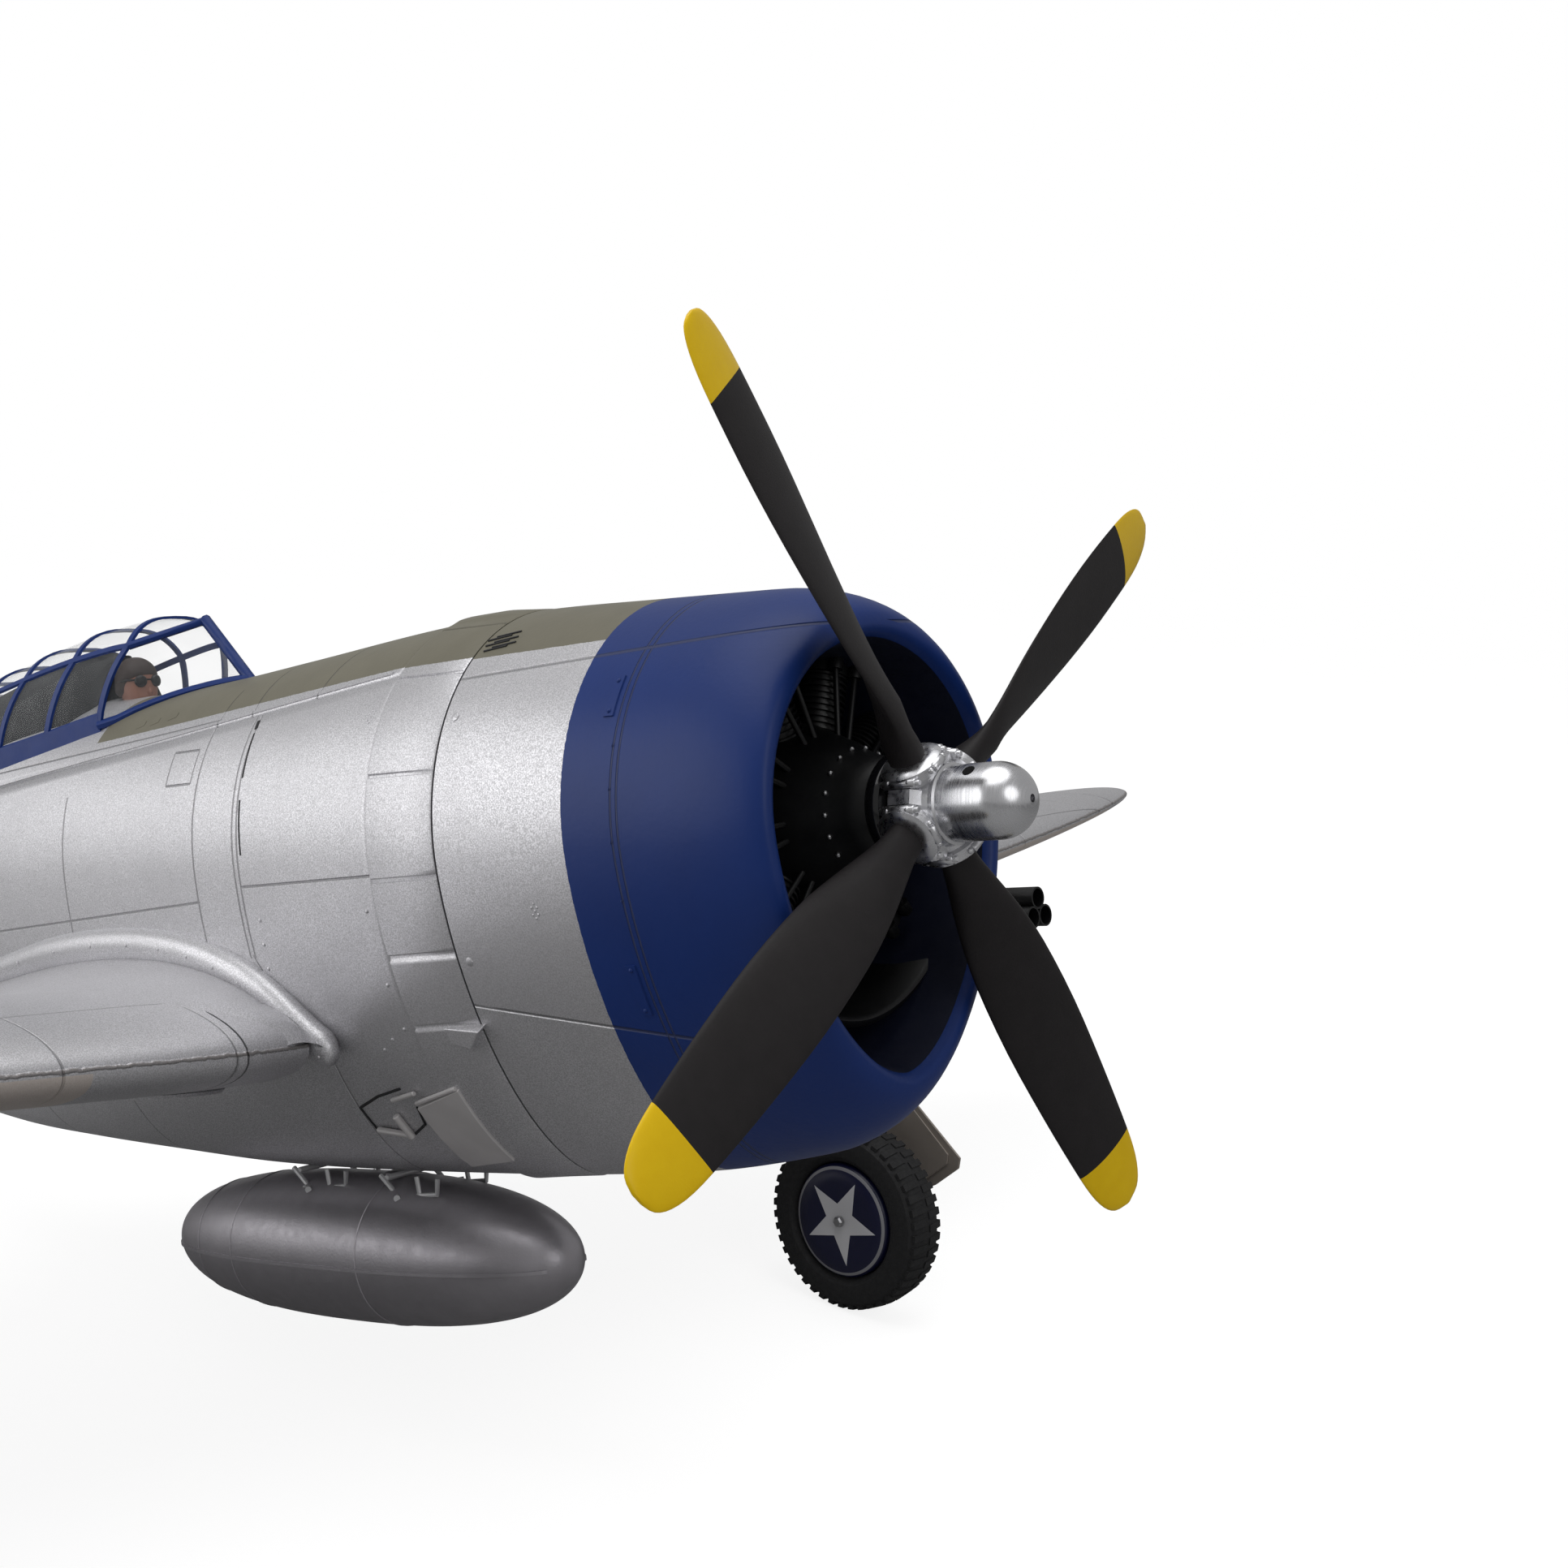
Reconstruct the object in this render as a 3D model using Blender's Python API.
"""Radio-control model of a radial-engined fighter, standing on its wheels with the tail down.

The aircraft is drawn in its own axes and in millimetres: X forward along the thrust line from
the propeller disc, Y to port and Z up. One parent empty pitches the aircraft to its ground
attitude and sets it down on the plane z = 0. Meshes are in metres.
"""

import math

import bmesh
import bpy
from mathutils import Matrix, Vector

MM = 0.001
GAP = 0.35  # clearance between neighbouring pieces

# Driving dimensions, in millimetres and degrees
SEMI_SPAN = 610.0
ROOT_CHORD = 275.0
WING_LE_X = -225.0
WING_LE_Z = -72.7  # leading edge height on the centre plane
DIHEDRAL = math.radians(4.9)
NOSE_UP = math.radians(12.0)
PROP_RADIUS = 165.0
BLADE_COUNT = 4
BLADE_PHASE = math.radians(32.3)
WALL = 7.0  # foam shell thickness
UNDER_SKIN = 1.2  # how far the firewall stays inside the foam wall
AHEAD = Vector((1.0, 0.0, 0.0))
COWL_REAR = -155.0
FLAPS_REAR = -190.0
HATCH_REAR = -545.0
SEAM_X, SEAM_Z, SEAM_SLOPE = -222.0, 56.7, 0.0806
TAIL_POST = -966.0
TAIL_TIP = -1035.0
WHEEL_RADIUS = 42.0
WHEEL_WIDTH = 24.0
WHEEL_CENTRE = Vector((-235.0, 230.5, -193.0))
LEG_LENGTH = 144.0
LEG_RAKE = math.radians(20.0)
AXLE_OFFSET = 15.5
TAIL_WHEEL_RADIUS = 15.0
TAIL_WHEEL_X = -880.0
TANK_LENGTH = 238.0
TANK_RADIUS = 29.0
TANK_CENTRE = Vector((-294.0, 0.0, -158.0))
TANK_AXIS = Vector((math.cos(0.025), 0.0, math.sin(0.025)))
AILERON = (345.0, 540.0, 0.76)  # inboard end, outboard end, hinge as a fraction of the chord
FLAP = (92.0, 341.0, 0.79)
END_GAP = 1.5  # room at each end of an aileron or flap, so that its square ends swing clear
CAMBER = 0.018
SPAR_X, SPAR_Z, SPAR_SEMI, SPAR_RADIUS = -372.0, -58.0, 205.0, 4.0
TAIL_Z = 21.0
STAB_ROOT_X = -868.0
STAB_CHORD = 142.0
STAB_SEMI = 240.0
ELEVATOR_HINGE_X = -960.0
ELEVATOR_BEVEL = math.radians(24.0)
FIN_FRONT = -852.0
FIN_TOP = 163.0
FIN_BASE = 20.0
RUDDER_LOW = -9.0
FIN_TIP_START = 150.0  # height where the tip starts to round in
RUDDER_HINGE_X = -972.0
HUB_REAR, HUB_FRONT = -9.0, 8.0
DOME_TIP = 36.2
DOME_RADIUS = 11.6
SHAFT_RADIUS = 3.0
BARREL_RADIUS = 2.6
TUBE_Y = 368.0
TUBE_RADIUS = 5.6
AXLE_RADIUS = 2.0
RIM_RADIUS = 28.5

# Fuselage stations: x, top, bottom, half width, upper and lower roundness
STATIONS = (
    (-16.0, 69.8, -99.0, 63.0, 2.00, 1.72),
    (-50.0, 71.6, -107.5, 63.2, 2.00, 1.68),
    (-97.0, 74.4, -115.5, 63.6, 2.00, 1.65),
    (-155.0, 77.5, -120.2, 64.0, 2.00, 1.65),
    (-205.0, 77.2, -122.6, 62.0, 2.00, 1.68),
    (-282.0, 73.2, -125.0, 57.5, 2.00, 1.75),
    (-340.0, 70.5, -125.5, 54.0, 2.00, 1.80),
    (-400.0, 70.0, -123.5, 51.0, 2.00, 1.85),
    (-470.0, 75.0, -120.5, 47.0, 1.90, 1.90),
    (-530.0, 82.0, -116.5, 43.0, 1.70, 1.90),
    (-600.0, 75.0, -106.0, 38.0, 1.65, 1.90),
    (-700.0, 63.0, -82.0, 31.0, 1.75, 2.00),
    (-800.0, 53.0, -54.0, 23.5, 1.90, 2.00),
    (-900.0, 44.0, -28.0, 14.5, 2.00, 2.00),
    (-968.0, 38.0, -8.0, 8.0, 2.00, 2.00),
)

# Canopy stations: x, half width, top
CANOPY = (
    (-328.5, 1.5, 73.5),
    (-337.0, 7.5, 84.5),
    (-346.0, 13.0, 95.6),
    (-354.0, 18.0, 97.6),
    (-366.0, 26.0, 99.6),
    (-380.0, 31.0, 100.6),
    (-400.0, 33.5, 100.4),
    (-432.0, 35.5, 97.6),
    (-474.0, 36.5, 91.8),
    (-505.0, 35.0, 87.2),
    (-526.0, 32.0, 84.2),
)


# ---------------------------------------------------------------- scene helpers


def clear_scene():
    for obj in list(bpy.data.objects):
        bpy.data.objects.remove(obj, do_unlink=True)


def material(name, colour, roughness, metallic=0.0, alpha=1.0):
    found = bpy.data.materials.get(name) or bpy.data.materials.new(name)
    found.use_nodes = True
    shader = found.node_tree.nodes["Principled BSDF"]
    shader.inputs["Base Color"].default_value = (*colour, 1.0)
    shader.inputs["Roughness"].default_value = roughness
    shader.inputs["Metallic"].default_value = metallic
    shader.inputs["Alpha"].default_value = alpha
    return found


FINISHES = {
    "silver": ((0.60, 0.60, 0.62), 0.35, 0.8),
    "blue": ((0.012, 0.045, 0.20), 0.45, 0.0),
    "olive": ((0.16, 0.15, 0.11), 0.6, 0.0),
    "black": ((0.015, 0.015, 0.016), 0.55, 0.0),
    "blade": ((0.022, 0.019, 0.020), 0.6, 0.0),
    "bright": ((0.70, 0.70, 0.72), 0.25, 1.0),
    "steel": ((0.45, 0.45, 0.46), 0.3, 1.0),
    "grey": ((0.10, 0.10, 0.11), 0.4, 0.6),
    "tyre": ((0.012, 0.012, 0.012), 0.8, 0.0),
    "navy": ((0.006, 0.008, 0.045), 0.5, 0.0),
    "clear": ((0.9, 0.9, 0.9), 0.05, 0.0),
    "skin": ((0.45, 0.24, 0.16), 0.6, 0.0),
    "wood": ((0.55, 0.38, 0.22), 0.7, 0.0),
    "plastic": ((0.03, 0.03, 0.035), 0.45, 0.0),
    "pack": ((0.05, 0.07, 0.20), 0.5, 0.0),
    "carbon": ((0.02, 0.02, 0.02), 0.3, 0.0),
}

FRAME = {}


def attitude_empty():
    """Parent of everything: it holds the nose-up attitude."""
    empty = bpy.data.objects.new("aircraft_axes", None)
    empty.rotation_euler = (0.0, -NOSE_UP, 0.0)
    bpy.context.scene.collection.objects.link(empty)
    FRAME["empty"] = empty


def new_object(name, shape, origin=(0.0, 0.0, 0.0)):
    """Object of a bmesh drawn in aircraft millimetres, with its origin where asked."""
    origin = Vector(origin)
    to_metres = Matrix.Scale(MM, 4) @ Matrix.Translation(-origin)
    bmesh.ops.transform(shape, matrix=to_metres, verts=shape.verts)
    bmesh.ops.recalc_face_normals(shape, faces=shape.faces)
    mesh = bpy.data.meshes.new(name)
    shape.to_mesh(mesh)
    shape.free()
    obj = bpy.data.objects.new(name, mesh)
    bpy.context.scene.collection.objects.link(obj)
    obj.parent = FRAME["empty"]
    obj.location = origin * MM
    return obj


def helper(shape):
    """Hidden operand of a Boolean."""
    obj = new_object("helper", shape)
    obj.hide_render = True
    obj.display_type = "WIRE"
    return obj


def boolean(obj, other, operation):
    step = obj.modifiers.new(operation.lower(), "BOOLEAN")
    step.operation = operation
    step.object = other
    step.solver = "EXACT"


def part(name, finish, shape, origin=(0.0, 0.0, 0.0), join=(), keep=(), cut=(), smooth=35.0):
    """One named piece: a body, shapes joined to it, a region kept of it and shapes cut away."""
    obj = new_object(name, shape, origin)
    for operand in join:
        boolean(obj, helper(operand), "UNION")
    for operand in keep:
        boolean(obj, helper(operand), "INTERSECT")
    for operand in cut:
        boolean(obj, helper(operand), "DIFFERENCE")
    obj.data.shade_smooth()
    obj.data.set_sharp_from_angle(angle=math.radians(smooth))
    colour, roughness, metallic = FINISHES[finish]
    obj.data.materials.append(material(name, colour, roughness, metallic))
    return obj


# ---------------------------------------------------------------- shape helpers


def loft(rings, loop=False):
    """Skin through rings of equal count: capped at both ends, or closed on itself."""
    shape = bmesh.new()
    rows = [[shape.verts.new(point) for point in ring] for ring in rings]
    count = len(rows[0])
    pairs = list(zip(rows, rows[1:]))
    if loop:
        pairs.append((rows[-1], rows[0]))
    for first, second in pairs:
        for i in range(count):
            j = (i + 1) % count
            shape.faces.new((first[i], first[j], second[j], second[i]))
    if not loop:
        shape.faces.new(rows[0])
        shape.faces.new(list(reversed(rows[-1])))
    return shape


def box(low, high):
    (x0, y0, z0), (x1, y1, z1) = low, high
    return loft([[(x, y0, z0), (x, y1, z0), (x, y1, z1), (x, y0, z1)] for x in (x0, x1)])


def prism(outline, z0, z1):
    """Vertical prism over a plan outline of (x, y) points."""
    return loft([[(x, y, z) for x, y in outline] for z in (z0, z1)])


def frame_along(direction):
    """Two unit vectors square to a direction."""
    ahead = Vector(direction).normalized()
    side = ahead.cross(Vector((0.0, 0.0, 1.0)))
    if side.length < 1e-3:
        side = Vector((0.0, 1.0, 0.0))
    side.normalize()
    return side, side.cross(ahead)


def turned(start, direction, profile, count=16):
    """Solid of revolution: profile of (distance along the axis, radius)."""
    start = Vector(start)
    ahead = Vector(direction).normalized()
    side, up = frame_along(ahead)
    rings = []
    for distance, radius in profile:
        centre = start + ahead * distance
        ring = []
        for k in range(count):
            turn = 2 * math.pi * k / count
            ring.append(centre + side * (radius * math.cos(turn)) + up * (radius * math.sin(turn)))
        rings.append(ring)
    return loft(rings)


def rod(start, end, radius, count=12):
    start, end = Vector(start), Vector(end)
    return turned(start, end - start, ((0.0, radius), ((end - start).length, radius)), count)


def flipped(points, side):
    """Points mirrored to the side wanted: +1 port, -1 starboard."""
    return [Vector((x, y * side, z)) for x, y, z in points]


def mirrored(shape, side):
    if side < 0:
        bmesh.ops.scale(shape, vec=(1.0, -1.0, 1.0), verts=shape.verts)
    return shape


def blend(table, column, x):
    """Smooth value of a station table at x (stations run aft)."""
    rows = list(table)
    if x >= rows[0][0]:
        return rows[0][column]
    if x <= rows[-1][0]:
        return rows[-1][column]
    index = next(i for i in range(len(rows) - 1) if rows[i + 1][0] <= x)
    slopes = []
    for i in (index, index + 1):
        low, high = max(i - 1, 0), min(i + 1, len(rows) - 1)
        slopes.append((rows[high][column] - rows[low][column]) / (rows[high][0] - rows[low][0]))
    (x0, y0), (x1, y1) = ((rows[i][0], rows[i][column]) for i in (index, index + 1))
    step = x1 - x0
    t = (x - x0) / step
    return (
        (1 + 2 * t) * (1 - t) ** 2 * y0
        + t * (1 - t) ** 2 * step * slopes[0]
        + t * t * (3 - 2 * t) * y1
        + t * t * (t - 1) * step * slopes[1]
    )


# ---------------------------------------------------------------- hull


def hull_size(x):
    """Top, bottom, half width and the two roundnesses of the hull at x, with the nose rounded in."""
    top, bottom, half, upper, lower = (blend(STATIONS, column, x) for column in range(1, 6))
    nose = 1.0 - math.sqrt(max(0.0, 1.0 - (max(0.0, x + 50.0) / 34.0) ** 2))
    return top - 12.0 * nose, bottom + 13.0 * nose, half - 5.5 * nose, upper, lower


def hull_ring(x, inset=0.0, count=28):
    top, bottom, half, upper, lower = hull_size(x)
    ring = []
    for k in range(count):
        turn = 2 * math.pi * k / count
        c, s = math.cos(turn), math.sin(turn)
        power = 2.0 / (upper if s >= 0 else lower)
        height = (top if s >= 0 else -bottom) - inset
        y = (half - inset) * math.copysign(abs(c) ** power, c)
        z = height * math.copysign(abs(s) ** power, s)
        ring.append((x, y, z))
    return ring


def hull_height(x, y):
    """Height of the hull's upper skin at x and distance y from the centre plane."""
    top, _, half, upper, _ = hull_size(x)
    return top * (1.0 - min(1.0, abs(y) / half) ** upper) ** (1.0 / upper)


def spaced(start, end, count):
    return [start + (end - start) * i / (count - 1) for i in range(count)]


def hull_solid(start, end, inset=0.0, step=40.0, count=28):
    rings = spaced(start, end, max(2, round(abs(end - start) / step) + 1))
    return loft([hull_ring(x, inset, count) for x in rings])


def seam_height(x):
    """The joint between the hatch and the fuselage."""
    return SEAM_Z + (x - SEAM_X) * SEAM_SLOPE


def hatch_region(grow):
    """Wedge that holds the hatch: above the joint, between its two ends."""
    front, rear = FLAPS_REAR - GAP + grow, HATCH_REAR - grow
    rings = []
    for x in (front, rear):
        low = seam_height(x) - grow
        rings.append([(x, -90.0, low), (x, 90.0, low), (x, 90.0, 140.0), (x, -90.0, 140.0)])
    return loft(rings)


def fuselage():
    """Foam tube from the cowl flaps to the stern post, with its joints cut in."""
    shell = hull_solid(FLAPS_REAR - GAP, TAIL_POST)
    cavity = hull_solid(FLAPS_REAR + 5.0, -790.0, WALL, 60.0, 20)
    slots = [wing_solid(side, GAP, 20.0, 90.0, 3) for side in (1, -1)]
    slots.append(tail_solid(GAP))
    joiner = rod((ELEVATOR_HINGE_X, -40.0, TAIL_Z), (ELEVATOR_HINGE_X, 40.0, TAIL_Z), 2.4)
    tail_leg = rod((TAIL_WHEEL_X + 22.0, 0.0, -60.0), (TAIL_WHEEL_X + 22.0, 0.0, -8.0), 3.2, 12)
    rudder_room = box((TAIL_POST + 6.0, -12.0, 48.0), (TAIL_POST - 20.0, 12.0, 60.0))
    part(
        "fuselage_shell",
        "silver",
        shell,
        cut=[cavity, hatch_region(0.0), *slots, joiner, tail_leg, rudder_room],
    )


def hatch():
    """Lift-off top of the fuselage, open under the cockpit."""
    shell = hull_solid(FLAPS_REAR - GAP, HATCH_REAR)
    cavity = hull_solid(FLAPS_REAR + 10.0, HATCH_REAR - 20.0, WALL, 60.0, 20)
    cockpit = box((-470.0, -22.0, 20.0), (-386.0, 22.0, 140.0))
    part("battery_hatch", "olive", shell, keep=[hatch_region(-GAP)], cut=[cavity, cockpit])


def cowling():
    """Foam cowl: outer skin, rounded lip and duct wall, open right through."""
    outer = [hull_ring(x, 0.0, 32) for x in (COWL_REAR, -100.0, -60.0, -42.0, -30.0, -21.5, -17.0)]
    lip = [hull_ring(-16.0, inset, 32) for inset in (0.6, 3.0)]
    inner_rows = ((-18.5, 5.0), (-30.0, 8.0), (-60.0, 9.0), (COWL_REAR, 7.0))
    inner = [hull_ring(x, inset, 32) for x, inset in inner_rows]
    part("engine_cowling", "blue", loft(outer + lip + inner, loop=True), smooth=50.0)


def cowl_flaps():
    """Band of cowl flaps behind the cowl, standing a little proud at its rear edge."""
    rows = ((FLAPS_REAR, 1.6), (-175.0, 0.9), (COWL_REAR - GAP, 0.0))
    outer = [hull_ring(x, -proud, 32) for x, proud in rows]
    inner = [hull_ring(x, WALL, 32) for x in (COWL_REAR - GAP, FLAPS_REAR)]
    part("cowl_flap_ring", "silver", loft(outer + inner, loop=True), smooth=50.0)


# ---------------------------------------------------------------- wing


def wing_chord(y):
    return ROOT_CHORD * math.sqrt(max(0.0, 1.0 - (abs(y) / SEMI_SPAN) ** 2.4))


def wing_le(y):
    """Leading edge point at distance y from the centre plane."""
    back = 0.32 * (ROOT_CHORD - wing_chord(y))
    return Vector((WING_LE_X - back, y, WING_LE_Z + abs(y) * math.tan(DIHEDRAL)))


def wing_thickness(y):
    return 0.142 - 0.045 * min(1.0, abs(y) / SEMI_SPAN)


def section_offsets(t, thickness, camber):
    """Upper and lower height of the aerofoil at chord fraction t, in chords."""
    half = 5 * thickness * (
        0.2969 * math.sqrt(t) - 0.1260 * t - 0.3516 * t**2 + 0.2843 * t**3 - 0.1036 * t**4
    )
    peak = 0.4
    if t < peak:
        line = camber / peak**2 * (2 * peak * t - t * t)
    else:
        line = camber / (1 - peak) ** 2 * ((1 - 2 * peak) + 2 * peak * t - t * t)
    return line + half, line - half


def aerofoil_ring(edge, chord, thickness, camber, grow=0.0, count=9, blunt=0.6):
    """Closed section from the trailing edge over the top to the leading edge and back."""
    fractions = [0.5 * (1 - math.cos(math.pi * i / count)) for i in range(count + 1)]
    upper, lower = [], []
    for t in fractions:
        high, low = section_offsets(t, thickness, camber)
        thin = blunt * t * 0.5
        x = edge.x + grow - t * (chord + 2 * grow)
        upper.append((x, edge.y, edge.z + high * chord + thin + grow))
        lower.append((x, edge.y, edge.z + low * chord - thin - grow))
    nose = (edge.x + grow, edge.y, edge.z)
    return list(reversed(upper[1:])) + [nose] + lower[1:]


def wing_solid(side, grow=0.0, start=30.0, end=SEMI_SPAN * 0.998, count=10):
    """Wing panel between two distances from the centre plane."""
    rings = []
    for i in range(count):
        t = i / (count - 1)
        y = start + (end - start) * math.sin(t * math.pi / 2)
        chord = wing_chord(y) + (0.0 if y < SEMI_SPAN * 0.9 else 1.0)  # keeps the tip from closing
        rings.append(aerofoil_ring(wing_le(y), chord, wing_thickness(y), CAMBER, grow))
    return mirrored(loft(rings), side)


def hinge_x(y, fraction):
    return wing_le(y).x - fraction * wing_chord(y)


def wing_mid_z(x, y, where):
    """Wing surface height at x, y: +1 upper, -1 lower, 0 camber line."""
    edge, chord = wing_le(y), wing_chord(y)
    high, low = section_offsets((edge.x - x) / chord, wing_thickness(y), CAMBER)
    return edge.z + chord * {1: high, -1: low, 0: (high + low) / 2}[where]


def surface_ends(spec, where):
    inboard, outboard, fraction = spec
    ends = []
    for y in (inboard, outboard):
        x = hinge_x(y, fraction)
        ends.append(Vector((x, y, wing_mid_z(x, y, where))))
    return ends


def surface_region(spec, grow, bevel=0.0, end_gap=0.0):
    """Space behind a hinge line: its front face is a wedge of the bevel angle, its ends square."""
    first, last = surface_ends(spec, 0)
    rings = []
    for point, shift in ((first, end_gap - grow), (last, grow - end_gap)):
        y = point.y + shift
        x, z = point.x + grow, point.z
        back, tall = x - 130.0, 30.0
        front = x - tall * math.tan(bevel)
        rings.append(
            [(x, y, z), (front, y, z + tall), (back, y, z + tall), (back, y, z - tall), (front, y, z - tall)]
        )
    return loft(rings)


def wing_panel(side, name):
    """Foam wing with its hinge bays, wheel well, leg channel, spar bore and servo pocket."""
    cuts = [mirrored(surface_region(spec, GAP), side) for spec in (AILERON, FLAP)]
    inner, outer = side * 10.0, side * (SPAR_SEMI + 3.0)
    cuts.append(rod((SPAR_X, inner, SPAR_Z), (SPAR_X, outer, SPAR_Z), SPAR_RADIUS + GAP, 16))
    cuts += [mirrored(shape, side) for shape in gear_bay()]
    servo = wing_le(430.0)
    pocket = box((servo.x - 118.0, 412.0, servo.z - 30.0), (servo.x - 88.0, 426.0, servo.z + 1.0))
    cuts.append(mirrored(pocket, side))
    cuts += [mirrored(shape, side) for shape in gun_bores()]
    part("wing_" + name, "silver", wing_solid(side), cut=cuts)


def control_surface(side, name, spec, where, bevel):
    """Aileron or flap, with a short horn under it; its origin is on the hinge."""
    first, last = surface_ends(spec, where)
    middle = (first + last) / 2
    region = mirrored(surface_region(spec, -GAP, bevel, END_GAP), side)
    inboard = first.lerp(last, 0.42)
    foot = wing_mid_z(inboard.x - 8.0, inboard.y, -1)
    low = (inboard.x - 13.0, inboard.y - 1.0, foot - 12.0)
    horn = box(low, (inboard.x - 4.0, inboard.y + 1.0, foot + 3.0))
    obj = part(name, "silver", wing_solid(side), flipped([middle], side)[0], keep=[region])
    boolean(obj, helper(mirrored(horn, side)), "UNION")


# ---------------------------------------------------------------- tail


def stab_outline(y):
    """Leading edge x and chord of the tailplane at distance y."""
    taper = math.sqrt(max(0.0, 1.0 - (abs(y) / STAB_SEMI) ** 2.6))
    chord = STAB_CHORD * (0.06 + 0.94 * taper)
    return STAB_ROOT_X - 0.42 * (STAB_CHORD - chord), chord


def tail_solid(grow=0.0, count=7):
    """Tailplane and elevators in one, tip to tip."""
    rings = []
    for i in range(2 * count - 1):
        y = STAB_SEMI * 0.995 * math.sin((i / (count - 1) - 1) * math.pi / 2)
        x, chord = stab_outline(y)
        rings.append(aerofoil_ring(Vector((x, y, TAIL_Z)), chord, 0.085, 0.0, grow, 7))
    return loft(rings)


def elevator_region(side, grow, bevel):
    """Space behind the elevator hinge, with its inner end slanted clear of the rudder."""
    x = ELEVATOR_HINGE_X + grow
    tall, slant = 20.0, 20.0 * math.tan(bevel)
    rings = []
    for y, rear in ((13.0 - grow, 46.0 - grow), (260.0, 260.0)):
        back = x - 90.0
        rings.append(
            [
                (x, y, TAIL_Z),
                (x - slant, y, TAIL_Z + tall),
                (back, rear, TAIL_Z + tall),
                (back, rear, TAIL_Z - tall),
                (x - slant, y, TAIL_Z - tall),
            ]
        )
    return mirrored(loft(rings), side)


def tailplane():
    """Fixed part ahead of the elevator hinge."""
    cuts = [box((ELEVATOR_HINGE_X + GAP, -260.0, 0.0), (-1100.0, 260.0, 60.0))]
    cuts.append(box((ELEVATOR_HINGE_X + 4.0, -14.0, 0.0), (-1100.0, 14.0, 60.0)))
    part("tailplane", "silver", tail_solid(), cut=cuts)


def elevators():
    """Both elevators and the wire that joins them, one moving body."""
    origin = (ELEVATOR_HINGE_X - GAP, 0.0, TAIL_Z)
    port = elevator_region(1, -GAP, ELEVATOR_BEVEL)
    obj = part("elevators", "silver", tail_solid(), origin, keep=[port])
    boolean(obj, starboard_elevator(), "UNION")
    joiner = rod((origin[0] - 1.6, -24.0, TAIL_Z), (origin[0] - 1.6, 24.0, TAIL_Z), 1.6)
    boolean(obj, helper(joiner), "UNION")


def starboard_elevator():
    """Hidden starboard half, to be joined to the port one."""
    obj = helper(tail_solid())
    boolean(obj, helper(elevator_region(-1, -GAP, ELEVATOR_BEVEL)), "INTERSECT")
    return obj


def fin_row(z):
    """Leading and trailing edge x of fin and rudder at height z."""
    t = (z - FIN_BASE) / (FIN_TOP - FIN_BASE)
    lead = FIN_FRONT - 92.0 * t - 166.6 * max(0.0, t - 0.55) ** 2
    trail = TAIL_TIP + 2.0 + 61.6 * max(0.0, t - 0.35) ** 2
    return lead, trail


def fin_solid(low=RUDDER_LOW):
    """Fin and rudder in one, from the height low to the rounded tip."""
    rows = (8.0, 30.0, 50.0, 75.0, 100.0, 122.0, 140.0, 153.0, 160.0, FIN_TOP)
    rings = []
    for z in [low] + [z for z in rows if z > low]:
        lead, trail = fin_row(max(z, FIN_BASE))
        if z < FIN_BASE:
            trail += (FIN_BASE - z) ** 2 * 0.055
        chord = lead - trail
        if z > FIN_TIP_START:
            rise = (z - FIN_TIP_START) / (FIN_TOP - FIN_TIP_START + GAP)
            pinch = 1.0 - math.sqrt(max(0.02, 1.0 - rise**2))
            lead -= chord * 0.4 * pinch
            chord *= 1.0 - 0.6 * pinch
        ring = aerofoil_ring(Vector((lead, 0.0, 0.0)), chord, 0.075, 0.0, 0.0, 7)
        rings.append([(x, height, z) for x, _, height in ring])
    return loft(rings)


def fin():
    """Fixed part ahead of the rudder hinge, cut to sit on the hull and the tailplane."""
    body = fin_solid(FIN_BASE)
    rudder_side = box((RUDDER_HINGE_X + GAP, -20.0, -40.0), (-1100.0, 20.0, 200.0))
    hull = hull_solid(-800.0, TAIL_POST - 20.0, -GAP)
    tail = tail_solid(GAP)
    part("fin", "silver", body, cut=[hull, rudder_side, tail])


def rudder():
    """Rudder hinged on the stern post, with a wedge-shaped leading face."""
    x = RUDDER_HINGE_X - GAP
    slant = 20.0 * math.tan(math.radians(27.0))
    ring = [(x, 0.0), (x - slant, 20.0), (x - 100.0, 20.0), (x - 100.0, -20.0), (x - slant, -20.0)]
    region = prism(ring, RUDDER_LOW - 0.5, 200.0)
    part("rudder", "silver", fin_solid(), (x, 0.0, 60.0), keep=[region])


# ---------------------------------------------------------------- main gear

PORT = Vector((0.0, 1.0, 0.0))
LEG_DOWN = Vector((math.sin(LEG_RAKE), 0.0, -math.cos(LEG_RAKE)))
LEG_FORE = PORT.cross(LEG_DOWN) * -1.0
GEAR_PIVOT = WHEEL_CENTRE - LEG_DOWN * LEG_LENGTH + PORT * AXLE_OFFSET
STOWED_SLOPE = DIHEDRAL + math.radians(2.5)  # the stowed leg droops a little below the wing plane
STOWED_SWEEP = math.radians(10.0)  # and lies swept aft, to reach the thick of the wing
WING_DOWN = Vector((0.0, math.sin(STOWED_SLOPE), -math.cos(STOWED_SLOPE)))
INBOARD = WING_DOWN.cross(AHEAD)
LEG_UP = INBOARD * math.cos(STOWED_SWEEP) - AHEAD * math.sin(STOWED_SWEEP)
WELL_CLEARANCE = 4.0
OLEO_RADIUS, PISTON_RADIUS, TRUNNION_RADIUS = 5.2, 3.2, 2.05


def retract_turn():
    """Rotation that takes the lowered port leg into its bay, wheel flat in the wing."""
    lowered = Matrix((LEG_DOWN, PORT, LEG_DOWN.cross(PORT)))
    stowed = Matrix((LEG_UP, WING_DOWN, LEG_UP.cross(WING_DOWN)))
    return stowed.transposed() @ lowered


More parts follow.
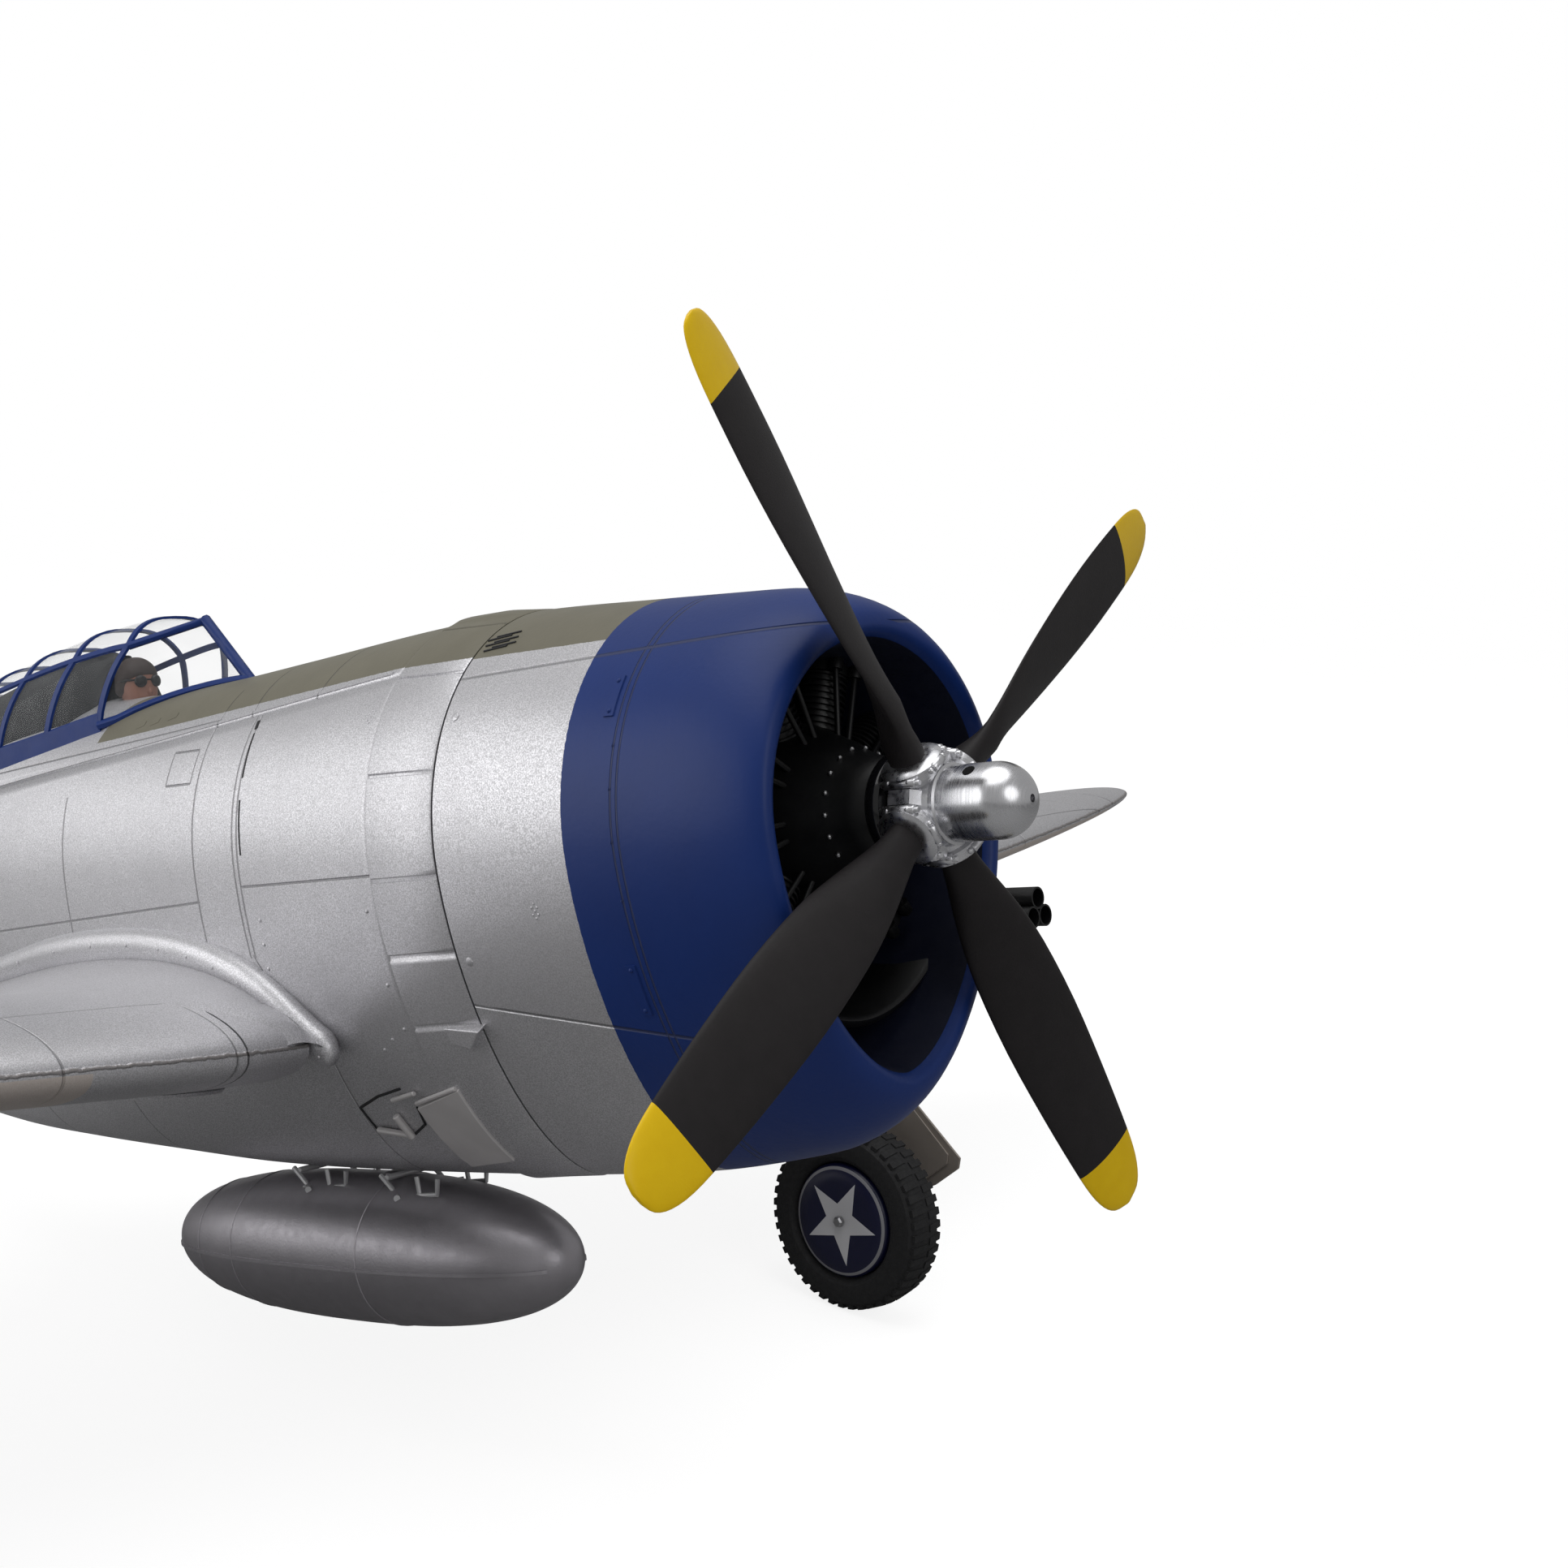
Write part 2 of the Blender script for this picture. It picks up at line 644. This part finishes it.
RETRACT = retract_turn()
STOWED_WHEEL = GEAR_PIVOT + RETRACT @ (WHEEL_CENTRE - GEAR_PIVOT)
TRUNNION = Vector(RETRACT.to_quaternion().axis)


def gear_bay():
    """Wheel well, leg channel and retract pocket, on the port side."""
    down = WING_DOWN
    top = STOWED_WHEEL - down * (WHEEL_WIDTH / 2 + 0.8)
    radius = WHEEL_RADIUS + WELL_CLEARANCE
    well = turned(top, down, ((0.0, radius), (60.0, radius)), 28)
    start = GEAR_PIVOT - down * 6.0
    fore, aft, deep = AHEAD * 7.5, AHEAD * -17.0, down * 40.0
    ends = (start, start + LEG_UP * (LEG_LENGTH + 2.0))
    channel = loft([[p + fore, p + aft, p + aft + deep, p + fore + deep] for p in ends])
    pocket = box(GEAR_PIVOT - Vector((19.0, 14.0, 30.0)), GEAR_PIVOT + Vector((19.0, 16.0, 15.0)))
    return [well, channel, pocket]


def retract_unit(side, name):
    """Trunnion block: two cheeks and a crown, open below and inboard for the leg."""
    block = box(GEAR_PIVOT - Vector((18.0, 12.0, 4.0)), GEAR_PIVOT + Vector((18.0, 14.0, 14.0)))
    slot = box(GEAR_PIVOT - Vector((8.0, 30.0, 30.0)), GEAR_PIVOT + Vector((8.0, 9.0, 8.0)))
    bore = rod(GEAR_PIVOT - TRUNNION * 30.0, GEAR_PIVOT + TRUNNION * 30.0, TRUNNION_RADIUS + GAP)
    cuts = [mirrored(shape, side) for shape in (slot, bore)]
    part("retract_unit_" + name, "plastic", mirrored(block, side), cut=cuts)


def gear_leg(side, name):
    """Oleo leg, trunnion pin, torque link and axle, one body."""
    pivot = GEAR_PIVOT
    foot = pivot + LEG_DOWN * LEG_LENGTH
    profile = (
        (-5.0, OLEO_RADIUS),
        (70.0, OLEO_RADIUS),
        (72.0, 4.4),
        (74.0, PISTON_RADIUS),
        (LEG_LENGTH + 4.0, PISTON_RADIUS),
    )
    upper = turned(pivot, LEG_DOWN, profile, 14)
    pin = rod(pivot - TRUNNION * 14.0, pivot + TRUNNION * 14.0, TRUNNION_RADIUS)
    axle = rod(foot + PORT * 2.0, foot - PORT * (AXLE_OFFSET + 11.0), AXLE_RADIUS)
    knee = pivot + LEG_DOWN * 100.0 - LEG_FORE * 13.0
    links = [
        rod(pivot + LEG_DOWN * 76.0, knee, 1.8, 8),
        rod(knee - LEG_DOWN * 1.0, pivot + LEG_DOWN * 124.0, 1.8, 8),
    ]
    join = [mirrored(shape, side) for shape in (pin, axle, *links)]
    part("gear_leg_" + name, "steel", mirrored(upper, side), flipped([pivot], side)[0], join=join)


def gear_door(side, name):
    """Door plate outboard of the leg, with two clips that reach it."""
    pivot = GEAR_PIVOT
    outline = (
        (10.0, 13.0),
        (10.0, -13.0),
        (70.0, -20.0),
        (118.0, -24.0),
        (128.0, -14.0),
        (144.0, 14.0),
        (144.0, 30.0),
        (141.0, 46.0),
        (137.0, 49.0),
        (108.0, 37.0),
        (60.0, 22.0),
    )
    rings = []
    for offset in (9.2, 10.6):
        base = pivot + PORT * offset
        rings.append([base + LEG_DOWN * down + LEG_FORE * fore for down, fore in outline])
    clips = []
    for down in (34.0, 60.0):
        centre = pivot + LEG_DOWN * down
        clips.append(rod(centre + PORT * (OLEO_RADIUS + GAP), centre + PORT * 9.6, 3.0, 10))
    join = [mirrored(shape, side) for shape in clips]
    origin = flipped([pivot], side)[0]
    part("gear_door_" + name, "silver", mirrored(loft(rings), side), origin, join=join)


def tyre_profile(radius, width, bore):
    half = width / 2
    return (
        (-half * 0.62, bore),
        (-half * 0.80, bore + 1.5),
        (-half, radius * 0.82),
        (-half * 0.45, radius),
        (half * 0.45, radius),
        (half, radius * 0.82),
        (half * 0.80, bore + 1.5),
        (half * 0.62, bore),
    )


def ring_of_revolution(centre, direction, profile, count):
    """Closed ring: the profile is a loop that never touches the axis."""
    centre = Vector(centre)
    ahead = Vector(direction).normalized()
    side, up = frame_along(ahead)
    rings = []
    for k in range(count):
        turn = 2 * math.pi * k / count
        out = side * math.cos(turn) + up * math.sin(turn)
        rings.append([centre + ahead * distance + out * radius for distance, radius in profile])
    return loft(rings, loop=True)


def main_wheel(side, name):
    """Tyre and hub, each its own node; both turn on the axle."""
    centre = flipped([WHEEL_CENTRE], side)[0]
    profile = tyre_profile(WHEEL_RADIUS, WHEEL_WIDTH, RIM_RADIUS + GAP)
    part("main_tyre_" + name, "tyre", ring_of_revolution(centre, PORT, profile, 32), centre)
    wide, edge = WHEEL_WIDTH * 0.60, RIM_RADIUS - 2.0
    profile = ((0.0, edge), (1.2, RIM_RADIUS), (wide - 1.2, RIM_RADIUS), (wide, edge))
    hub = turned(centre - PORT * wide / 2, PORT, profile, 32)
    bore = rod(centre - PORT * 20.0, centre + PORT * 20.0, AXLE_RADIUS + 0.1)
    part("main_hub_" + name, "navy", hub, centre, cut=[bore])


# ---------------------------------------------------------------- tail gear


def ground_height(x):
    """Height of the ground under the aircraft at x, in aircraft axes, set by the main wheels."""
    up = Vector((math.sin(NOSE_UP), 0.0, math.cos(NOSE_UP)))
    level = WHEEL_CENTRE.dot(up) - WHEEL_RADIUS
    return (level - x * up.x) / up.z


TAIL_AXLE_Z = ground_height(TAIL_WHEEL_X) + TAIL_WHEEL_RADIUS / math.cos(NOSE_UP)
TAIL_AXLE = Vector((TAIL_WHEEL_X, 0.0, TAIL_AXLE_Z))
TAIL_LEG_X = TAIL_WHEEL_X + 22.0


def tail_gear():
    """Steering leg with its fork, and the wheel between the fork's blades."""
    top = Vector((TAIL_LEG_X, 0.0, -12.0))
    crown = TAIL_AXLE + Vector((9.0, 0.0, TAIL_WHEEL_RADIUS + 6.0))
    knee = Vector((TAIL_LEG_X, 0.0, crown.z + 10.0))
    leg = rod(top, knee - Vector((0, 0, 1.0)), 2.6, 12)
    brace = rod(knee, crown, 2.8, 12)
    bridge = rod(crown + Vector((0, -8.6, 0)), crown + Vector((0, 8.6, 0)), 3.2, 10)
    sides = (Vector((0, -6.9, 0)), Vector((0, 6.9, 0)))
    blades = [rod(crown + shift, TAIL_AXLE + shift, 1.7, 10) for shift in sides]
    axle = rod(TAIL_AXLE + Vector((0, -8.6, 0)), TAIL_AXLE + Vector((0, 8.6, 0)), 1.2, 10)
    part("tail_leg", "steel", leg, (TAIL_LEG_X, 0.0, crown.z), join=[brace, bridge, *blades, axle])
    tyre = ring_of_revolution(TAIL_AXLE, PORT, tyre_profile(TAIL_WHEEL_RADIUS, 9.0, 8.0 + GAP), 24)
    part("tail_tyre", "tyre", tyre, TAIL_AXLE)
    hub = turned(TAIL_AXLE - PORT * 2.6, PORT, ((0.0, 7.4), (0.6, 8.0), (4.6, 8.0), (5.2, 7.4)), 20)
    bore = rod(TAIL_AXLE - PORT * 9.0, TAIL_AXLE + PORT * 9.0, 1.3, 10)
    part("tail_hub", "plastic", hub, TAIL_AXLE, cut=[bore])


# ---------------------------------------------------------------- power unit


def blade_axes(index):
    turn = BLADE_PHASE + index * 2 * math.pi / BLADE_COUNT
    out = Vector((0.0, -math.sin(turn), math.cos(turn)))
    return out, AHEAD.cross(out)


# Blade rows: radius, chord, pitch in degrees, thickness
BLADE_ROWS = (
    (17.0, 12.0, 57.0, 11.0),
    (26.0, 13.0, 52.0, 9.0),
    (42.0, 21.0, 42.0, 6.0),
    (62.0, 26.5, 32.0, 4.6),
    (88.0, 29.0, 25.0, 3.6),
    (115.0, 28.6, 19.0, 2.9),
    (138.0, 26.2, 16.0, 2.4),
    (152.0, 23.2, 14.6, 2.0),
    (160.0, 18.0, 14.0, 1.7),
    (PROP_RADIUS, 8.0, 14.0, 1.4),
)


def prop_blade(index):
    out, ahead = blade_axes(index)
    rings = []
    for radius, chord, pitch, thick in BLADE_ROWS:
        angle = math.radians(pitch)
        along = ahead * math.cos(angle) + AHEAD * math.sin(angle)
        normal = AHEAD * math.cos(angle) - ahead * math.sin(angle)
        ring = []
        for k in range(12):
            turn = 2 * math.pi * k / 12
            edge, face = along * (chord / 2 * math.cos(turn)), normal * (thick / 2 * math.sin(turn))
            ring.append(out * radius + edge + face)
        rings.append(ring)
    part("prop_blade_" + str(index + 1), "blade", loft(rings), smooth=60.0)


def prop_centre():
    """Hub with four blade sockets, dome, shaft and the turning motor bell."""
    hub = turned((HUB_REAR, 0, 0), AHEAD, ((0.0, 10.0), (2.0, 12.5), (13.0, 12.5), (17.0, 11.5)), 24)
    sockets = []
    for index in range(BLADE_COUNT):
        out, _ = blade_axes(index)
        sockets.append(turned(out * 6.0, out, ((0.0, 8.2), (8.0, 8.2), (9.0, 9.2), (10.6, 9.2)), 14))
    bore = rod((-20, 0, 0), (HUB_FRONT - 5.0, 0, 0), SHAFT_RADIUS + GAP)
    part("prop_hub", "bright", hub, join=sockets, cut=[bore])
    straight = DOME_TIP - HUB_FRONT - GAP - DOME_RADIUS
    profile = [(0.0, DOME_RADIUS)]
    for i in range(5):
        turn = math.pi / 2 * i / 5
        profile.append((straight + math.sin(turn) * DOME_RADIUS, math.cos(turn) * DOME_RADIUS))
    profile.append((straight + DOME_RADIUS, 1.2))
    part("prop_dome", "bright", turned((HUB_FRONT + GAP, 0, 0), AHEAD, profile, 22))
    shaft = rod((-72.0, 0, 0), (HUB_FRONT - 5.6, 0, 0), SHAFT_RADIUS, 14)
    part("prop_shaft", "steel", shaft)
    bell = turned((-110.0, 0, 0), AHEAD, ((0.0, 20.5), (30.0, 20.5), (35.0, 17.0), (37.5, 8.0)), 24)
    part("motor_bell", "plastic", bell)


def engine():
    """Imitation radial engine: crankcase, nine cylinders and a round baffle, all one moulding."""
    profile = ((0.0, 27.0), (8.0, 27.0), (16.0, 21.0), (24.0, 19.5), (46.0, 14.0))
    case = turned((-58.0, 0, 0), AHEAD, profile, 18)
    cylinders = []
    for k in range(9):
        turn = 2 * math.pi * (k + 0.5) / 9
        out = Vector((0.0, math.sin(turn), math.cos(turn)))
        foot = Vector((-52.0, 0, 0)) + out * 20.0
        cylinders.append(turned(foot, out, ((0.0, 7.6), (30.0, 7.6), (31.0, 5.0)), 8))
    baffle = turned((-66.0, 0, 0), AHEAD, ((0.0, 53.0), (9.0, 53.0)), 28)
    hole = rod((-80.0, 0, 0), (0.0, 0, 0), 4.2)
    part("engine_front", "black", case, join=[*cylinders, baffle], cut=[hole])


def motor():
    """Firewall, cross mount on four posts and the fixed back of the motor."""
    wall = hull_solid(-172.0, -166.0, WALL + UNDER_SKIN, 6.0, 32)
    part("firewall", "wood", wall, cut=[rod((-180, 25, 20), (-160, 25, 20), 7.0)])
    plate = turned((-120.0, 0, 0), AHEAD, ((0.0, 19.0), (4.0, 19.0)), 24)
    posts = []
    for y, z in ((12, 12), (12, -12), (-12, 12), (-12, -12)):
        posts.append(rod((-166.0 + GAP, y, z), (-118.0, y, z), 3.0, 10))
    back = turned((-117.0, 0, 0), AHEAD, ((0.0, 18.0), (6.6, 18.0)), 24)
    part("motor_mount", "steel", plate, join=[*posts, back])


# ---------------------------------------------------------------- cockpit


def canopy_ring(x, half, top, thick):
    """Arch of the canopy at x as a closed band: outer line, then the inner one back."""
    foot = hull_height(x, half) - 3.0
    count = 12
    outer, inner = [], []
    for k in range(count + 1):
        turn = math.pi * k / count
        c, s = math.cos(turn), math.sin(turn)
        spread = math.copysign(abs(c) ** 0.85, c)
        rise = s**0.9
        outer.append((x, half * spread, foot + (top - foot) * rise))
        inner.append((x, (half - thick) * spread, foot + (top - thick - foot) * rise))
    return outer + list(reversed(inner))


def canopy():
    """Clear shell, its foot cut to the hull."""
    rings = []
    for x, half, top in CANOPY:
        rings.append(canopy_ring(x, half, top, min(1.1, half * 0.4)))
    skin = hull_solid(FLAPS_REAR - GAP, HATCH_REAR, -GAP * 1.5)
    part("canopy", "clear", loft(rings), cut=[skin], smooth=30.0)


def cockpit():
    """Tub with the instrument panel, seat back and rear decking, and the pilot's bust."""
    tub = box((-469.0, -21.5, 30.0), (-387.0, 21.5, 60.0))
    room = box((-466.0, -19.0, 33.0), (-391.0, 19.0, 80.0))
    part("cockpit_tub", "black", tub, cut=[room])
    decking = []
    for x, half, top in ((-428.0, 15.0, 88.0), (-431.0, 20.0, 93.0), (-465.0, 21.0, 87.0)):
        ring = []
        for k in range(9):
            turn = math.pi * k / 8
            ring.append((x, half * math.cos(turn), 62.0 + (top - 62.0) * math.sin(turn)))
        decking.append(ring)
    part("rear_decking", "black", loft(decking))
    head = Vector((-411.0, 0.0, 80.0))
    rows = (
        (-20.0, 9.0, 14.0),
        (-15.0, 10.0, 16.0),
        (-11.5, 6.5, 7.5),
        (-9.0, 7.0, 6.0),
        (-4.0, 9.2, 7.2),
        (1.5, 9.8, 7.8),
        (6.0, 9.4, 7.6),
        (9.5, 6.8, 5.6),
        (11.3, 3.0, 2.6),
    )
    rings = []
    for up, deep, wide in rows:
        ring = []
        for k in range(14):
            turn = 2 * math.pi * k / 14
            ring.append(head + Vector((deep * math.cos(turn), wide * math.sin(turn), up)))
        rings.append(ring)
    chest = turned(head + Vector((-2.0, 0, -44.0)), (0, 0, 1), ((0.0, 12.0), (24.5, 13.0)), 14)
    part("pilot_bust", "skin", loft(rings), join=[chest])


# ---------------------------------------------------------------- stores and small fittings


def drop_tank():
    """Round tank with blunt ends."""
    rows = []
    steps = 12
    for i in range(steps + 1):
        t = i / steps
        s = math.cos(math.pi * t)
        radius = TANK_RADIUS * math.sqrt(max(0.0, 1.0 - abs(s) ** 2.6))
        rows.append((-TANK_LENGTH / 2 * s, max(radius, 1.0)))
    part("drop_tank", "grey", turned(TANK_CENTRE, TANK_AXIS, rows, 20))


def tank_braces():
    """Shackle plate against the belly and two pairs of V sway braces, a hair above the tank."""
    bars = []
    for x in (-266.0, -322.0):
        for side in (1, -1):
            top = Vector((x, side * 10.0, -118.0))
            foot = TANK_CENTRE + Vector((x - TANK_CENTRE.x - 9.0, side * 13.0, 26.6))
            rear = Vector((x - 18.0, side * 10.0, -118.0))
            bars += [rod(top, foot, 1.7, 8), rod(rear, foot - AHEAD * 4.0, 1.7, 8)]
    beam = box((-346.0, -13.0, -131.6), (-258.0, 13.0, -127.6))
    clear = TANK_RADIUS + 2 * GAP
    trim = turned(TANK_CENTRE - TANK_AXIS * 90.0, TANK_AXIS, ((0.0, clear), (180.0, clear)), 32)
    belly = hull_solid(-230.0, -370.0, -GAP, 20.0)
    part("tank_braces", "steel", beam, join=bars, cut=[belly, trim])


def gun_points():
    """Port gun muzzles: (muzzle x, y, height)."""
    rows = []
    for k in range(4):
        y = 283.0 + 15.0 * k
        rows.append(Vector((wing_le(y).x + 44.0 - 9.0 * k, y, wing_le(y).z)))
    return rows


def gun_barrel(muzzle, depth, beyond, radius):
    """Straight rod from inside the leading edge to a distance beyond the muzzle."""
    root = Vector((wing_le(muzzle.y).x - depth, muzzle.y, muzzle.z))
    return rod(root, muzzle + AHEAD * beyond, radius, 10)


def gun_bores():
    bores = [gun_barrel(muzzle, 15.0, 10.0, BARREL_RADIUS + GAP) for muzzle in gun_points()]
    return [*bores, gun_bar(GAP)]


def guns(side, name):
    """Four barrels on the bar that holds them inside the leading edge."""
    barrels = [gun_barrel(muzzle, 14.0, 0.0, BARREL_RADIUS) for muzzle in gun_points()]
    part(
        "gun_barrels_" + name,
        "black",
        mirrored(barrels[0], side),
        join=[mirrored(shape, side) for shape in (*barrels[1:], gun_bar())],
    )


def gun_bar(grow=0.0):
    """Flat bar buried in the leading edge that ties the four barrels together."""
    points = gun_points()
    rings = []
    for p, shift in ((points[0], -grow), (points[-1], grow)):
        front = wing_le(p.y).x - 10.0 + grow
        rear, tall, y = front - 4.0 - 2 * grow, 1.2 + grow, p.y + shift
        low, high = p.z - tall, p.z + tall
        rings.append([(front, y, low), (front, y, high), (rear, y, high), (rear, y, low)])
    return loft(rings)


def rocket_tubes(side, name):
    """Cluster of three launch tubes hung on two hangers under the wing."""
    edge = wing_le(TUBE_Y)
    base = wing_mid_z(edge.x - 70.0, TUBE_Y, -1) - GAP
    centre = Vector((0.0, TUBE_Y, base - 15.0))
    front, rear = edge.x + 28.0, edge.x - 150.0
    spots = [Vector((0, 0, 6.2)), Vector((0, 5.4, -3.1)), Vector((0, -5.4, -3.1))]
    tubes = []
    bores = []
    for spot in spots:
        line = centre + spot
        tubes.append(rod(line + AHEAD * rear, line + AHEAD * front, TUBE_RADIUS, 16))
        bore_ends = line + AHEAD * (front - 60.0), line + AHEAD * (front + 5.0)
        bores.append(rod(*bore_ends, TUBE_RADIUS - 1.0, 14))
    hangers = []
    for x in (edge.x - 45.0, edge.x - 110.0):
        top = wing_mid_z(x, TUBE_Y, -1) - GAP - 0.6
        hangers.append(box((x - 5.0, TUBE_Y - 1.6, centre.z + 8.0), (x + 5.0, TUBE_Y + 1.6, top)))
    part(
        "rocket_tubes_" + name,
        "black",
        mirrored(tubes[0], side),
        join=[mirrored(shape, side) for shape in (*tubes[1:], *hangers)],
        cut=[mirrored(shape, side) for shape in bores],
    )


def small_fittings():
    """Pitot head, wing joiner, electronics, and the servos with their arms."""
    edge = wing_le(560.0)
    profile = ((0.0, 1.7), (28.0, 1.7), (29.0, 1.1), (48.0, 1.1))
    part("pitot_head", "steel", turned((edge.x + GAP, -560.0, edge.z), AHEAD, profile, 10))
    spar = rod((SPAR_X, -SPAR_SEMI, SPAR_Z), (SPAR_X, SPAR_SEMI, SPAR_Z), SPAR_RADIUS, 16)
    part("wing_joiner", "carbon", spar)
    part("battery_pack", "pack", box((-355.0, -22.0, -30.0), (-215.0, 22.0, 10.0)))
    part("battery_tray", "wood", box((-378.0, -30.0, -36.0), (-206.0, 30.0, -33.0)))
    part("speed_controller", "plastic", box((-240.0, -17.0, -54.0), (-180.0, 17.0, -40.0)))
    part("radio_receiver", "plastic", box((-440.0, -14.0, -52.0), (-395.0, 14.0, -38.0)))
    for name, y in (("elevator_servo", 13.0), ("rudder_servo", -13.0)):
        body = box((-500.0, y - 6.0, -24.0), (-470.0, y + 6.0, 0.0))
        arm = box((-482.0, y - 1.5, -1.0), (-474.0, y + 1.5, 8.0))
        part(name, "plastic", body, join=[arm])
    for side, name in ((1, "left"), (-1, "right")):
        edge = wing_le(430.0)
        body = box((edge.x - 117.0, 413.0, edge.z - 12.0), (edge.x - 89.0, 425.0, edge.z + 0.5))
        arm = box((edge.x - 113.0, 417.5, edge.z - 22.0), (edge.x - 107.0, 420.5, edge.z - 11.0))
        part("aileron_servo_" + name, "plastic", mirrored(body, side), join=[mirrored(arm, side)])


def antenna():
    """Blade mast behind the canopy, tapering to its tip."""
    x = -560.0
    base = hull_height(x, 0.0) + GAP
    rings = []
    for height, size in ((0.6, 1.0), (34.0, 0.55)):
        outline = ((4.0, 0.0), (0.0, 1.2), (-5.0, 0.0), (0.0, -1.2))
        rings.append([(x + fore * size, y * size, base + height) for fore, y in outline])
    part("antenna_mast", "silver", loft(rings))


# ---------------------------------------------------------------- assembly


def set_on_ground():
    """Centre the aircraft's box over the origin and put its lowest point on z = 0."""
    bpy.context.view_layer.update()
    graph = bpy.context.evaluated_depsgraph_get()
    low, high = Vector((1e9,) * 3), Vector((-1e9,) * 3)
    for obj in bpy.context.scene.objects:
        if obj.type != "MESH" or obj.hide_render:
            continue
        seen = obj.evaluated_get(graph)
        for vertex in seen.data.vertices:
            point = seen.matrix_world @ vertex.co
            low = Vector(map(min, low, point))
            high = Vector(map(max, high, point))
    FRAME["empty"].location = (-(low.x + high.x) / 2, 0.0, -low.z)


def main():
    clear_scene()
    attitude_empty()
    fuselage()
    hatch()
    cowling()
    cowl_flaps()
    for side, name in ((1, "left"), (-1, "right")):
        wing_panel(side, name)
        control_surface(side, "aileron_" + name, AILERON, 0, math.radians(24.0))
        control_surface(side, "flap_" + name, FLAP, -1, 0.0)
        retract_unit(side, name)
        gear_leg(side, name)
        gear_door(side, name)
        main_wheel(side, name)
        guns(side, name)
        rocket_tubes(side, name)
    tailplane()
    elevators()
    fin()
    rudder()
    tail_gear()
    for index in range(BLADE_COUNT):
        prop_blade(index)
    prop_centre()
    engine()
    motor()
    canopy()
    cockpit()
    drop_tank()
    tank_braces()
    small_fittings()
    antenna()
    set_on_ground()


main()
